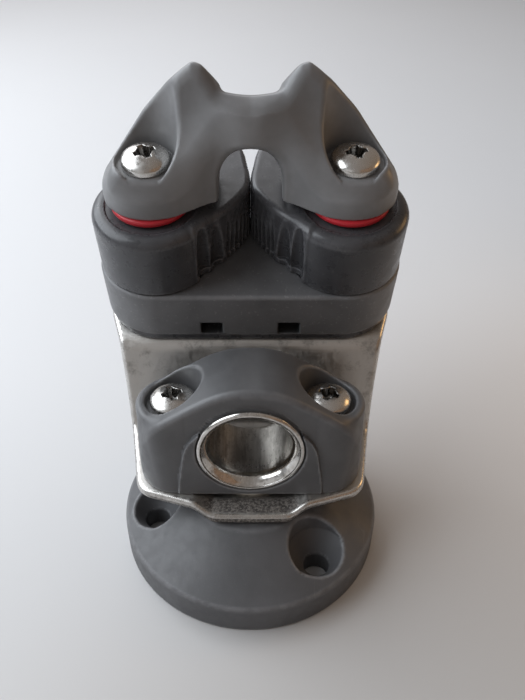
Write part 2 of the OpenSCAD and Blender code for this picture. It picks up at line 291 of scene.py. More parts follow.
def build(name, verts, faces, normals=None, wear=None, pit=None):
    """A mesh object from arrays, in metres."""
    me = bpy.data.meshes.new(name)
    faces = np.asarray(faces, np.int32)
    me.vertices.add(len(verts))
    me.vertices.foreach_set("co", (np.asarray(verts) * MM).astype(np.float32).ravel())
    me.loops.add(faces.size)
    me.loops.foreach_set("vertex_index", faces.ravel())
    me.polygons.add(len(faces))
    me.polygons.foreach_set("loop_start", np.arange(0, faces.size, faces.shape[1], dtype=np.int32))
    me.polygons.foreach_set("use_smooth", np.ones(len(faces), bool))
    me.update(calc_edges=True)
    me.validate()
    if wear is not None:
        me.attributes.new("wear", "FLOAT", "POINT").data.foreach_set("value", np.asarray(wear, np.float32))
    if pit is not None:
        me.attributes.new("pit", "FLOAT", "POINT").data.foreach_set("value", np.asarray(pit, np.float32))
    if normals is not None:
        me.normals_split_custom_set_from_vertices([tuple(q) for q in normals])
    ob = bpy.data.objects.new(name, me)
    bpy.context.scene.collection.objects.link(ob)
    return ob


def solid(name, f, lo, hi, h, place=world, edge=2.2, flip=False, pit=None):
    """Meshes the field f: surface nets, moved onto the true surface, with the field's own normals."""
    g, start, _ = field_grid(f, lo, hi, h)
    v, faces = surface_nets(g)
    p = start + v * h
    for _ in range(3):
        d = f(p[:, 0], p[:, 1], p[:, 2])
        n = gradient(f, p, 0.04)
        l = np.maximum(np.linalg.norm(n, axis=1), 0.2)
        p = p - n / l[:, None] * np.clip(d / l, -0.4 * h, 0.4 * h)[:, None]
    n = gradient(f, p, 0.05)
    n /= np.maximum(np.linalg.norm(n, axis=1), 1e-6)[:, None]
    e = 0.3
    d0 = f(p[:, 0], p[:, 1], p[:, 2])
    lap = sum(f(*(p + s * e * np.eye(3)[k]).T) for k in range(3) for s in (-1, 1)) - 6 * d0
    # convex edges score high here; the plastics lighten them, partly as rubbed wear and partly as a painted highlight
    # along the rounded edges
    wear = np.clip(lap / e / e / edge, 0, 1)
    deep = pit(*p.T) if pit else None
    q = place(p)
    nn = place(p + n) - q
    if flip:
        faces = faces[:, ::-1]
    return build(name, q, faces, nn / np.linalg.norm(nn, axis=1)[:, None], wear, deep)


def lathe(profile, seg=96, closed=True):
    """Rings about +z through the (r, z) points; points with r under 0.001 close to the axis."""
    p = np.array(profile, float)
    a = np.linspace(0, 2 * math.pi, seg, endpoint=False)
    v = np.stack([p[:, :1] * np.cos(a), p[:, :1] * np.sin(a), np.repeat(p[:, 1:2], seg, 1)], -1).reshape(-1, 3)
    m = len(p) if closed else len(p) - 1
    i, k = np.meshgrid(np.arange(m), np.arange(seg), indexing="ij")
    j = (i + 1) % len(p)
    l = (k + 1) % seg
    f = np.stack([i * seg + k, j * seg + k, j * seg + l, i * seg + l], -1).reshape(-1, 4)
    return v, f


def merge(*parts):
    vs, fs, at = [], [], 0
    for v, f in parts:
        vs.append(v)
        fs.append(np.asarray(f) + at)
        at += len(v)
    return np.concatenate(vs), np.concatenate(fs)


def give(ob, body, slot, *nodes):
    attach(ob, body)
    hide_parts(*nodes)
    return ob


# ---------------------------------------------------------------- materials
class Nodes:
    """Short calls for a node tree."""

    def __init__(self, name):
        self.m = bpy.data.materials.new(name)
        self.m.use_nodes = True
        self.t = self.m.node_tree
        self.t.nodes.clear()
        self.out = self.t.nodes.new("ShaderNodeOutputMaterial")
        self.b = self.t.nodes.new("ShaderNodeBsdfPrincipled")
        self.t.links.new(self.b.outputs[0], self.out.inputs["Surface"])
        self.coord = self.t.nodes.new("ShaderNodeTexCoord").outputs["Object"]

    def link(self, a, b):
        self.t.links.new(a, b)

    def put(self, socket, value):
        if isinstance(value, bpy.types.NodeSocket):
            self.link(value, socket)
        elif isinstance(value, (tuple, list)) and len(value) == 3 and socket.type == "RGBA":
            socket.default_value = (*value, 1)
        else:
            socket.default_value = value

    def scaled(self, s):
        n = self.t.nodes.new("ShaderNodeMapping")
        self.link(self.coord, n.inputs["Vector"])
        n.inputs["Scale"].default_value = s if isinstance(s, tuple) else (s, s, s)
        return n.outputs[0]

    def noise(self, scale, detail=3.0, rough=0.55, vec=None, distortion=0.0):
        n = self.t.nodes.new("ShaderNodeTexNoise")
        self.link(vec or self.coord, n.inputs["Vector"])
        n.inputs["Scale"].default_value = scale
        n.inputs["Detail"].default_value = detail
        n.inputs["Roughness"].default_value = rough
        n.inputs["Distortion"].default_value = distortion
        return n.outputs["Fac"]

    def voronoi(self, scale, feature="F1", vec=None):
        n = self.t.nodes.new("ShaderNodeTexVoronoi")
        n.feature = feature
        self.link(vec or self.coord, n.inputs["Vector"])
        n.inputs["Scale"].default_value = scale
        return n.outputs["Distance"]

    def ramp(self, fac, lo, hi, a=0.0, b=1.0):
        n = self.t.nodes.new("ShaderNodeMapRange")
        n.interpolation_type = "SMOOTHSTEP"
        self.put(n.inputs["Value"], fac)
        for k, v in zip(("From Min", "From Max", "To Min", "To Max"), (lo, hi, a, b)):
            n.inputs[k].default_value = v
        return n.outputs["Result"]

    def math(self, op, a, b=0.0, clamp=False):
        n = self.t.nodes.new("ShaderNodeMath")
        n.operation = op
        n.use_clamp = clamp
        self.put(n.inputs[0], a)
        self.put(n.inputs[1], b)
        return n.outputs[0]

    def mix(self, fac, a, b):
        n = self.t.nodes.new("ShaderNodeMix")
        n.data_type = "RGBA"
        self.put(n.inputs[0], fac)
        self.put(n.inputs[6], a)
        self.put(n.inputs[7], b)
        return n.outputs[2]

    def attr(self, name):
        n = self.t.nodes.new("ShaderNodeAttribute")
        n.attribute_name = name
        return n.outputs["Fac"]

    def axis(self, k):
        n = self.t.nodes.new("ShaderNodeSeparateXYZ")
        self.link(self.coord, n.inputs[0])
        return n.outputs[k]

    def bump(self, height, strength, distance, normal=None):
        n = self.t.nodes.new("ShaderNodeBump")
        n.inputs["Strength"].default_value = strength
        n.inputs["Distance"].default_value = distance
        self.link(height, n.inputs["Height"])
        if normal is not None:
            self.link(normal, n.inputs["Normal"])
        return n.outputs[0]

    def scratches(self, scale, stretch, width=0.03, keep=0.5):
        """Thin lines: the crests of a stretched noise, broken up by a slower one."""
        n = self.noise(scale, 2.0, 0.4, self.scaled(stretch), 0.6)
        line = self.ramp(self.math("ABSOLUTE", self.math("SUBTRACT", n, 0.5)), 0.0, width, 1.0, 0.0)
        return self.math("MULTIPLY", line, self.ramp(self.noise(scale * 0.21, 2.0, 0.5, self.scaled(tuple(s * 1.7 for s in stretch))), keep, keep + 0.12))


def plastic(name, colour, rough=0.46, grain=1.0, edge=0.35, mottle=0.18, dust=0.0, light=(0.30, 0.30, 0.31)):
    k = Nodes(name)
    big = k.noise(70, 4, 0.6)
    mid = k.noise(420, 3, 0.6)
    fine = k.noise(3200, 2, 0.7)
    dark = tuple(c * (1 - mottle) for c in colour)
    pale = tuple(min(1, c * (1 + mottle)) for c in colour)
    col = k.mix(k.ramp(big, 0.35, 0.65), dark, pale)
    speck = k.ramp(k.noise(5200, 1, 0.5), 0.66, 0.78)
    col = k.mix(k.math("MULTIPLY", speck, 0.16), col, light)
    # rounded edges are lightened: partly rubbed wear, partly a painted highlight
    rubbed_and_highlit = k.math("MULTIPLY", k.attr("wear"), k.ramp(mid, 0.32, 0.62, 0.45, 1.0))
    col = k.mix(k.math("MULTIPLY", rubbed_and_highlit, edge), col, light)
    scr = k.scratches(160, (1.0, 0.25, 0.5), 0.012, 0.56)
    col = k.mix(k.math("MULTIPLY", scr, 0.12), col, light)
    # recess insides are blackened: painted shade
    col = k.mix(k.math("MULTIPLY", k.attr("pit"), 0.85), col, (0.006, 0.007, 0.007))
    if dust:
        d = k.ramp(k.noise(1500, 2, 0.6), 0.62, 0.70)
        col = k.mix(k.math("MULTIPLY", d, dust), col, (0.42, 0.41, 0.40))
    k.put(k.b.inputs["Base Color"], col)
    r = k.math("ADD", k.ramp(mid, 0.3, 0.7, rough - 0.06, rough + 0.07), k.math("MULTIPLY", rubbed_and_highlit, -0.08))
    k.put(k.b.inputs["Roughness"], r)
    k.b.inputs["IOR"].default_value = 1.5
    k.b.inputs["Specular IOR Level"].default_value = 0.5
    n = k.bump(fine, 0.16 * grain, 0.00006)
    n = k.bump(k.noise(900, 3, 0.6), 0.10 * grain, 0.00012, n)
    n = k.bump(scr, 0.06, 0.00005, n)
    k.put(k.b.inputs["Normal"], n)
    return k.m


def steel(name, colour, rough, stretch=(1, 1, 1), scratch=0.5, grime=0.0, worn_seat=False, turned=False):
    k = Nodes(name)
    big = k.noise(45, 4, 0.6)
    fine = k.noise(900, 4, 0.65, k.scaled(stretch))
    brushed = k.noise(2600, 2, 0.5, k.scaled(stretch))
    col = k.mix(k.ramp(big, 0.3, 0.7), tuple(c * 0.86 for c in colour), colour)
    dirt = k.math("MULTIPLY", k.ramp(k.noise(260, 5, 0.7), 0.5, 0.72), grime)
    col = k.mix(dirt, col, (0.13, 0.115, 0.10))
    scr = k.scratches(230, (1.0, 0.35, 0.6), 0.014, 0.5)
    scr2 = k.scratches(520, (0.3, 1.0, 1.0), 0.016, 0.52)
    lines = k.math("MAXIMUM", scr, scr2)
    r = k.math("ADD", k.ramp(fine, 0.3, 0.7, rough * 0.7, rough * 1.5), k.math("MULTIPLY", lines, 0.22 * scratch))
    r = k.math("ADD", r, k.math("MULTIPLY", dirt, 0.3))
    h = k.math("ADD", k.math("MULTIPLY", brushed, 0.5), k.math("MULTIPLY", lines, -1.0 * scratch))
    if worn_seat:
        r = k.math("ADD", r, k.math("MULTIPLY", k.ramp(k.attr("wear"), 0.15, 0.7, 1.0, 0.0), 0.16))
        # the pressed seat and what lies in front of the fairlead are dulled and pitted
        y, z = k.axis(1), k.axis(2)
        low = k.math("MULTIPLY", k.ramp(y, -0.0090, -0.0078, 1.0, 0.0), k.ramp(z, (SEAT_Z - 0.5) * MM, (SEAT_Z - 1.4) * MM))
        top = k.math("MULTIPLY", k.attr("wear"), k.ramp(z, (SEAT_Z - 2.75) * MM, (SEAT_Z - 2.4) * MM))
        rim = k.math("SUBTRACT", 1.0, k.math("MULTIPLY", top, 1.8, True), True)
        low = k.math("MULTIPLY", low, rim)
        grit = k.ramp(k.noise(1900, 3, 0.8), 0.40, 0.62)
        col = k.mix(k.math("MULTIPLY", low, 0.9), col, k.mix(grit, (0.10, 0.09, 0.085), (0.42, 0.39, 0.36)))
        r = k.math("ADD", r, k.math("MULTIPLY", low, 0.32), True)
        h = k.math("ADD", h, k.math("MULTIPLY", k.math("MULTIPLY", grit, low), 2.0))
    # recess insides are darkened: painted shade
    col = k.mix(k.math("MULTIPLY", k.attr("pit"), 0.9), col, (0.030, 0.027, 0.024))
    k.put(k.b.inputs["Base Color"], col)
    k.b.inputs["Metallic"].default_value = 1.0
    k.put(k.b.inputs["Roughness"], r)
    k.put(k.b.inputs["Normal"], k.bump(h, 0.22, 0.00004))
    return k.m


def liner_steel():
    k = Nodes("liner_polished_steel")
    y = k.axis(1)
    lines = k.noise(1500, 4, 0.6, k.scaled((1.0, 0.05, 1.0)))
    deep = k.ramp(y, -0.0072, -0.0035)
    blot = k.ramp(k.noise(330, 4, 0.7, k.scaled((1.0, 0.35, 1.0))), 0.42, 0.62)
    pits = k.ramp(k.noise(1400, 3, 0.6), 0.60, 0.68)
    col = k.mix(k.ramp(lines, 0.3, 0.7), (0.56, 0.54, 0.51), (0.76, 0.74, 0.71))
    col = k.mix(k.math("MULTIPLY", k.math("MULTIPLY", blot, deep), 0.55), col, (0.20, 0.18, 0.165))
    col = k.mix(k.math("MULTIPLY", pits, 0.4), col, (0.16, 0.14, 0.12))
    k.put(k.b.inputs["Base Color"], col)
    k.b.inputs["Metallic"].default_value = 1.0
    r = k.math("ADD", k.ramp(lines, 0.3, 0.7, 0.11, 0.20), k.math("MULTIPLY", deep, 0.18))
    k.put(k.b.inputs["Roughness"], k.math("ADD", r, k.math("MULTIPLY", pits, 0.2)))
    n = k.bump(lines, 0.35, 0.00005)
    n = k.bump(pits, -0.3, 0.00006, n)
    k.put(k.b.inputs["Normal"], n)
    return k.m


GREY = plastic("grey_moulding", (0.092, 0.092, 0.095), 0.44, 1.0, 0.50, 0.12)
GREY_BASE = plastic("grey_base_moulding", (0.084, 0.084, 0.088), 0.48, 1.2, 0.66, 0.12)
GREY_BRIDGE = plastic("grey_bridge_moulding", (0.195, 0.194, 0.197), 0.41, 0.9, 0.42, 0.12)
GREY_PLINTH = plastic("grey_plinth_moulding", (0.125, 0.125, 0.129), 0.46, 1.2, 0.40, 0.14, 0.20)
BLACK = plastic("black_satin_moulding", (0.047, 0.047, 0.051), 0.31, 0.8, 0.60, 0.16, 0.08, (0.17, 0.17, 0.18))
RED = plastic("red_washer_plastic", (0.52, 0.018, 0.030), 0.34, 0.4, 0.2, 0.10, 0.0, (0.75, 0.12, 0.12))
WHITE = plastic("natural_acetal", (0.66, 0.65, 0.60), 0.42, 0.6, 0.1, 0.08, 0.0, (0.85, 0.84, 0.80))
BLUE = plastic("blue_nylon", (0.05, 0.12, 0.42), 0.4, 0.6, 0.2, 0.10, 0.0, (0.3, 0.4, 0.7))
SHEET = steel("worn_polished_sheet", (0.66, 0.64, 0.61), 0.24, (1.0, 1.0, 0.25), 0.8, 0.55, True)
LINER = liner_steel()
HEADS = steel("polished_screw_steel", (0.70, 0.68, 0.65), 0.22, (1, 1, 1), 0.6, 0.35)
PLAIN = steel("turned_steel", (0.60, 0.59, 0.57), 0.24, (1, 1, 0.1), 0.4, 0.2)
WIRE = steel("spring_wire", (0.52, 0.51, 0.50), 0.28, (1, 1, 1), 0.3, 0.3)


def dress(ob, mat):
    ob.data.materials.clear()
    ob.data.materials.append(mat)
    return ob


# ---------------------------------------------------------------- base disc
def f_base(x, y, z):
    rho = np.hypot(x, y)
    hx, hz = R_BASE - 13.5, HUB_Z - 6.8
    l = math.hypot(hx, hz)
    cone = ((rho - R_BASE) * hz + (z - 6.8) * hx) / l
    d = rmax(rmax(rho - R_BASE, cone, 0.55), z - HUB_Z, 0.5)
    d = rmax(d, -z, 0.4)
    for a in HOLES:
        q = np.hypot(x - PCD / 2 * math.cos(a), y - PCD / 2 * math.sin(a))
        cone_ = np.maximum((q - 2.65 - np.clip(z - 4.8, 0, 4.4) * 0.739) * 0.804, 4.8 - z)
        d = rmax(d, -np.minimum(np.maximum(q - 5.9, 9.2 - z), cone_), 0.45)
        d = rmax(d, -(q - 2.65), 0.2)
    d = rmax(d, -(rho - 5.0), 0.25)
    d = rmax(d, -np.maximum(rho - 10.0, z - 3.0), 0.3)
    return d


base = solid("base_disc_moulding", f_base, (-R_BASE, -R_BASE, 0), (R_BASE, R_BASE, HUB_Z), 0.45)
give(dress(base, GREY_BASE), "base", "moulded_grey", "base_disc")


# ---------------------------------------------------------------- arm
T = 2.2
TILT = math.asin(U[2])
RISER = math.radians(72)
TAN, RK = math.tan(TILT), 1 / math.tan(RISER)
RY0 = 10.2


def up(u, w):
    return (O[1] + u * math.cos(TILT) - w * math.sin(TILT), O[2] + u * math.sin(TILT) + w * math.cos(TILT))


PT = up(0, -2.0)
KZ = (PT[1] + (RY0 - RK * SEAT_Z - PT[0]) * TAN) / (1 - RK * TAN)
KY = RY0 + (KZ - SEAT_Z) * RK
END = up(16, -2.0)
half = (RISER + TILT) / 2
sec = Outline(rounded([(-20, SEAT_Z, 0), (RY0, SEAT_Z, 2.6), (KY, KZ, 5.0), (*END, 0), (END[0] + T * math.sin(TILT), END[1] - T * math.cos(TILT), 0),
    (KY + T * math.cos(math.pi / 2 - half) / math.cos((RISER - TILT) / 2), KZ - T * math.sin(math.pi / 2 - half) / math.cos((RISER - TILT) / 2), 2.8),
    (RY0 + T * math.tan(RISER / 2), SEAT_Z - T, 4.8), (-20, SEAT_Z - T, 0)]), h=0.15)
arm_pts = rounded(mir([(0, -13.2, 0), (7.4, -13.1, 1.5), (12, -11.3, 6), (23.0, -7.8, 5), (27.1, 14.0, 30), (30.6, 25.0, 8), (30.6, 28.3, 0),
    (19, 39.9, 0), (0, 39.9, 0)]))
arm_out = Outline(arm_pts, soft=0.25)


def pressed(x, y):
    """How far the sheet is pressed down: round the swivel, and a channel to the front."""
    return np.maximum(step(1.2, -1.2, np.hypot(x, y) - 8.8), step(2.3, -2.3, np.maximum(np.abs(x) - 9.6, y)))


def f_arm(x, y, z):
    s = pressed(x, y)
    sx, sy = pressed(x + 0.05, y) - pressed(x - 0.05, y), pressed(x, y + 0.05) - pressed(x, y - 0.05)
    zz = z + 2.0 * s
    d = sec(y, zz) / np.sqrt(1 + 400 * (sx * sx + sy * sy))
    back = np.minimum(np.hypot(np.abs(x) - PX, y - 28.3) - 11.6, np.maximum(arm_out(x, y), y - 28.3))
    back = np.minimum(back, np.maximum(np.maximum(np.abs(x) - PX, 28.3 - y), y - 39.9))
    d = rmax(d, back, 0.8)
    d = rmax(d, -(np.hypot(x, y) - 6.0), 0.25)
    hole = np.hypot(np.abs(x) - FLX, y - FLY) - 2.7
    d = np.where(z < 24, rmax(d, -hole, 0.25), d)
    uu = (y - O[1]) * U[1] + (z - O[2]) * U[2]
    bolt = np.hypot(np.abs(x) - PX, uu) - 2.7
    return np.where(z > 32, rmax(d, -bolt, 0.25), d)


a_lo, a_hi = mm_box("arm_plate")
arm = solid("arm_plate_sheet", f_arm, a_lo - 0.3, a_hi + 0.3, 0.45, edge=1.6)
give(dress(arm, SHEET), "arm", "stainless_sheet", "arm_plate")


# ---------------------------------------------------------------- fairlead body
CREST = mm_box("fairlead_body")[1][2]
FK = (CREST - SEAT_Z) / 25.6
arch_out = Outline(rounded(mir([(q[0], SEAT_Z + q[1] * FK, q[2]) for q in [(2.6, 25.55, 16), (5.6, 24.9, 14), (8.5, 23.6, 12), (11, 22.1, 0), (15.4, 19.4, 8), (17.5, 17.9, 5),
    (20, 15.4, 5), (22, 11.6, 6), (23, 6, 8), (23, -6, 0)]]), 8), h=0.2, soft=0.35)
pad = Outline(chaikin(mir([(0, SEAT_Z - 6), (14.6, SEAT_Z - 6), (14.5, 19.6), (13.7, 26), (12.7, 32.0), (10.3, 35.2), (6.6, 37.2), (3.8, 39.2), (0, 39.8)]), 3), h=0.2)


def f_fair(x, y, z):
    ax = np.abs(x)
    arch = arch_out(x, z)
    plan = np.minimum(np.hypot(ax - 14.6, y + 0.9) - 8.2, np.maximum(ax - 14.6, np.maximum(-8.8 - y, y - 7.0)))
    # raked front above the pad, crest falling gently to the back
    rake = (-8.8 - y) * 0.996 + (z - SEAT_Z - 10) * 0.085
    d = rmax(arch, rmax(plan, rake, 1.5), 1.15)
    d = rmin(d, rmax(pad(x, z), np.maximum(-9.12 - y + np.maximum(z - 38, 0) * 0.11, y + 6), 0.10), 0.04)
    boss = rmax(np.hypot(ax - FLX, y - FLY + 0.2) - 7.3, z - (SEAT_Z + 17.3), 1.0)
    d = rmin(d, boss, 1.3)
    d = rmax(d, SEAT_Z - z, 0.35)
    pocket = np.maximum(np.hypot(ax - FLX, y - FLY) - 5.35 - 0.10 * np.maximum(z - FL_HEAD, 0), FL_HEAD - z)
    d = rmax(d, -pocket, 0.45)
    rb = np.hypot(x, z - BORE_Z)
    d = rmax(d, -(rb - THROAT - 0.9), 0.3)
    d = rmax(d, -np.maximum(rb - 10.6, y + 7.9), 0.25)
    d = rmax(d, -np.maximum(rb - 10.0, 6.4 - y), 0.4)
    d = np.maximum(d, -np.maximum(np.hypot(x, y) - 8.4, z - SEAT_Z - 0.8))
    return np.maximum(d, -np.maximum(np.hypot(ax - FLX, y - FLY) - 2.7, z - 37))


f_lo, f_hi = mm_box("fairlead_body")
fair = solid("fairlead_moulding", f_fair, f_lo - 0.3, f_hi + 0.3, 0.4)
give(dress(fair, GREY), "arm", "moulded_grey", "fairlead_body")

# ---------------------------------------------------------------- fairlead liner
t = THROAT


def turn(cx, cy, r, a0, a1, n):
    return [(cx + r * math.cos(math.radians(a0 + (a1 - a0) * i / n)), cy + r * math.sin(math.radians(a0 + (a1 - a0) * i / n))) for i in range(n + 1)]


# a wide rolled flare at the front, a smaller one at the back
prof = [(t + 0.9, -6.4), (t + 0.9, 7.9), (t + 1.7, 7.98)] + turn(t + 1.87, 8.62, 0.6, -80, 118, 14) + turn(t + 3.0, 6.5, 3.0, 118, 180, 14)
prof += [(t, -4.6)] + turn(t + 1.6, -5.3, 1.6, 180, 250, 8) + [(t + 1.6, -7.0), (t + 1.9, -6.8), (t + 1.8, -6.4)]
v, f = lathe(prof[::-1], 160)
v = np.stack([v[:, 0], -v[:, 2], v[:, 1] + BORE_Z], -1)
liner = build("fairlead_liner_turned", v, f)
give(dress(liner, LINER), "arm", "stainless_polished", "fairlead_liner")


# ---------------------------------------------------------------- screws
def recess(x, y, z):
    """A cross recess with tapering walls and small corner ticks."""
    r = np.hypot(x, y)
    m, n = np.maximum(np.abs(x), np.abs(y)), np.minimum(np.abs(x), np.abs(y))
    up_ = np.clip(z - 0.9, 0, 2.4)
    cross = np.maximum(np.maximum(m - 1.25 - 0.42 * up_, n - 0.36 - 0.10 * up_), 0.9 - z)
    core = np.maximum(r - 0.85 - 0.30 * up_, 0.8 - z)
    return rmin(cross, core, 0.3)


def f_head(x, y, z):
    r = np.hypot(x, y)
    dome = (np.sqrt((r / 4.5) ** 2 + (np.maximum(z - 0.9, 0) / 2.0) ** 2 + 1e-9) - 1) * 2.6
    d = rmax(np.maximum(dome, r - 4.5), -z, 0.25)
    return rmax(d, -recess(x, y, z), 0.12)


def screws(name, spots, length, place, turns):
    parts = []
    g, start, _ = field_grid(f_head, (-4.6, -4.6, -0.1), (4.6, 4.6, 3.0), 0.17)
    hv, hf = surface_nets(g)
    p = start + hv * 0.17
    for _ in range(3):
        dd, n = f_head(*p.T), gradient(f_head, p, 0.03)
        l = np.maximum(np.linalg.norm(n, axis=1), 0.3)
        p = p - n / l[:, None] * np.clip(dd / l, -0.06, 0.06)[:, None]
    n = gradient(f_head, p, 0.04)
    n /= np.linalg.norm(n, axis=1)[:, None]
    # the inside of the cross recess is darkened: painted shade
    deep = 0.75 * np.clip((0.12 - recess(*p.T)) / 0.12, 0, 1) * (p[:, 2] < 2.75)
    shank, sf = lathe(chaikin([(0.02, 0.4), (2.5, 0.4), (2.5, -length + 0.5), (2.1, -length), (0.02, -length)], 0)[::-1], 48)
    sn = np.stack([shank[:, 0], shank[:, 1], np.zeros(len(shank))], -1)
    sn = sn / np.maximum(np.linalg.norm(sn, axis=1), 1e-3)[:, None]
    vs, fs, ns, dark, at = [], [], [], [], 0
    for (cx, cy, cz), turn in zip(spots, turns):
        c, s = math.cos(turn), math.sin(turn)
        rot = np.array([[c, -s, 0], [s, c, 0], [0, 0, 1]])
        for vv, ff, nn, dd in ((p, hf, n, deep), (shank, sf, sn, np.zeros(len(shank)))):
            w = place(vv @ rot.T + np.array([cx, cy, cz]))
            nw = place((vv + nn) @ rot.T + np.array([cx, cy, cz])) - w
            vs.append(w)
            fs.append(ff + at)
            ns.append(nw)
            dark.append(dd)
            at += len(vv)
    return build(name, np.concatenate(vs), np.concatenate(fs), np.concatenate(ns), pit=np.concatenate(dark))


fs = screws("fairlead_screw_heads", [(-FLX, FLY, FL_HEAD), (FLX, FLY, FL_HEAD)], 19.6, world, (0.35, 1.1))
give(dress(fs, HEADS), "arm", "stainless_polished", "fairlead_screws")
cs = screws("cleat_screw_heads", [(-PX, 0, HEAD_W), (PX, 0, HEAD_W)], HEAD_W + 11.4, cleat, (0.5, 0.2))
give(dress(cs, HEADS), "arm", "stainless_polished", "cleat_screws")


# ---------------------------------------------------------------- plinth and its pad
def f_plinth(x, u, w):
    ax = np.abs(x)
    pill = np.hypot(np.maximum(ax - PX, 0), u) - 12.1
    d = rmax(pill, w - PLINTH, 0.7)
    d = rmax(d, -w, 0.35)
    notch = box3(ax, u, w, (8.0, -12.1, 2.1), (2.15, 4.0, 1.6))
    d = rmax(d, -notch, 0.2)
    r = np.hypot(ax - PX, u)
    d = rmax(d, -(r - 4.0), 0.15)
    d = rmax(d, -np.maximum(r - 6.5, w - 1.2), 0.2)
    d = rmax(d, -np.maximum(np.abs(r - 6.6) - 1.6, PLINTH - 3 - w), 0.2)
    return rmax(d, -(np.hypot(r - 9.7, w - PLINTH - 0.35) - 1.23), 0.12)


# the inside of the front notches is blackened: painted shade
def notch_painted_shade(x, u, w):
    return step(0.5, 0.15, np.maximum(np.maximum(np.abs(np.abs(x) - 8.0) - 2.1, np.abs(w - 2.1) - 1.55), -11.9 - u)) * (u < -6)


plinth = solid("cleat_base_moulding", f_plinth, (-31.2, -12.2, 0), (31.2, 12.2, PLINTH), 0.42, cleat, pit=notch_painted_shade)
give(dress(plinth, GREY_PLINTH), "arm", "moulded_grey", "cleat_base")


def f_pad(x, u, w):
    ax = np.abs(x)
    d = rmax(np.hypot(np.maximum(ax - PX, 0), u) - 11.7, np.abs(w + 1.0) - 1.0, 0.35)
    return rmax(d, -(np.hypot(ax - PX, u) - 2.7), 0.2)


rpad = solid("riser_pad_moulding", f_pad, (-30.8, -11.8, -2), (30.8, 11.8, 0), 0.5, cleat)
give(dress(rpad, BLACK), "arm", "moulded_grey", "riser_pad")

# ---------------------------------------------------------------- cams
FACE = [(7.6, -8.8), (9.4, -6.6), (11.4, -4.6), (13.6, -2.6), (15.7, -0.2), (17.4, 2.4), (18.6, 4.6), (19.05, 6.6), (19.05, 9.2)]
JAW = FACE + [(18.6, 12.0), (18.25, 14.4), (17.9, 16.6), (17.3, 18.5), (15.9, 19.4), (13.4, 19), (9, 16.6), (4, 13.2), (0, 5)]
jaw = Outline(chaikin(JAW, 2), h=0.12, soft=0.12)
TEETH = [(1.12, 1.95, 1.5), (2.46, 1.95, 1.5), (3.55, 0.85, 0.75), (3.95, 0.85, 0.7), (4.45, 0.85, 0.65), (4.95, 0.8, 0.6), (5.5, 0.8, 0.55), (6.1, 0.7, 0.5)]


gx, gy = np.meshgrid(np.arange(18.5, 19.6, 0.005), np.arange(4, 13, 0.1), indexing="ij")
SLIP = float(np.where(jaw(gx, gy) < 0, gx, 0).max()) - (PX - 0.008)


def f_cam(x, y, w):
    """x points at the rope line, y to the back, about the cam's own pivot."""
    r = np.hypot(x, y)
    drum = rmax(r - 11.8, w - CAM1, 2.1)
    j = rmax(jaw(x + SLIP, y), w - (CAM1 - 0.25), 1.3)
    d = rmin(drum, j, 1.0)
    for k, big, deep in TEETH:
        m, fr = int(k), k - int(k)
        p = np.array(FACE[m]) * (1 - fr) + np.array(FACE[m + 1]) * fr
        e = np.array(FACE[m + 1]) - np.array(FACE[m])
        n = np.array([e[1], -e[0]]) / np.linalg.norm(e)  # outward
        a, b = p + n * (big - deep), p + n * (big + 0.2)
        flute = np.maximum(capsule(x, y, w, (*a, CAM0 + 1.0), (*b, CAM1 - 0.4), big, big), CAM0 + 1.45 - w)
        heel = cyl(x, y, big, *(p + n * (big - 0.45)))
        d = rmax(d, -np.minimum(flute, np.maximum(heel, w - CAM0 - 2.5)), 0.12)
    d = rmax(d, CAM0 - w, 0.3)
    # a shallow step where the top of the drum meets the washer
    d = rmax(d, -np.maximum(r - 9.0, CAM1 - 0.25 - w), 0.15)
    d = rmax(d, -(r - 4.05), 0.15)
    d = rmax(d, -np.maximum(np.abs(r - 6.6) - 1.6, w - CAM0 - 7.6), 0.2)
    return rmax(d, -(np.hypot(r - 9.7, w - PLINTH - 0.35) - 1.23), 0.12)


def cam_place(side):
    def go(p):
        q = p.copy()
        q[:, 0] = side * PX - side * p[:, 0]
        return cleat(q)
    return go


for side, body in ((-1, "cam_l"), (1, "cam_r")):
    word = "left" if side < 0 else "right"
    ob = solid(f"cam_{word}_moulding", f_cam, (-11.9, -11.9, CAM0), (19.2, 19.8, CAM1), 0.30, cam_place(side), 2.0, flip=side > 0)
    give(dress(ob, BLACK), body, "cam_black", f"cam_{word}")
    prof = [(4.08, 25.82), (7.55, 25.82), (7.75, 26.02), (7.75, 26.78), (7.55, 26.98), (4.25, 26.98), (4.08, 26.8)]
    v, f = lathe(prof, 128)
    v[:, 0] += side * PX
    cap = build(f"cap_washer_{word}_disc", cleat(v), f)
    give(dress(cap, RED), "arm", "red_plastic", f"cap_washer_{word}")

# ---------------------------------------------------------------- bridge
bf = Outline(rounded(mir([(28.4, FOOT - 6, 0), (28.6, 30, 2), (24.9, 35.4, 14), (21.0, 41.1, 20), (15.7, 47.4, 20), (10.7, 52.0, 1.7), (8.3, 50.9, 2.4), (5.5, 46.9, 1.6), (0, 46.2, 0)]), 10), h=0.2, soft=0.2)
bp = Outline(chaikin(mir([(0, -2.8), (4.6, -1.6), (7.4, -2.2), (11.6, -4.9), (15.2, -7.0), (19.5, -8.0), (24.2, -6.0), (27.8, -2.2), (28.5, 2.4), (26.0, 6.6), (22.5, 9.4), (18, 10.4), (0, 10.0)]), 3), h=0.2, soft=0.4)
bs = Outline(chaikin([(-8.2, FOOT - 6), (-8.2, 33), (-7.9, 35.2), (-6.4, 37.0), (-3.6, 41.4), (-1.2, 43.8), (2.4, 49.0), (3.9, 52.4), (5.9, 52.4), (7.4, 49), (10.5, 38), (10.5, FOOT - 6)], 3), h=0.2, soft=0.3)


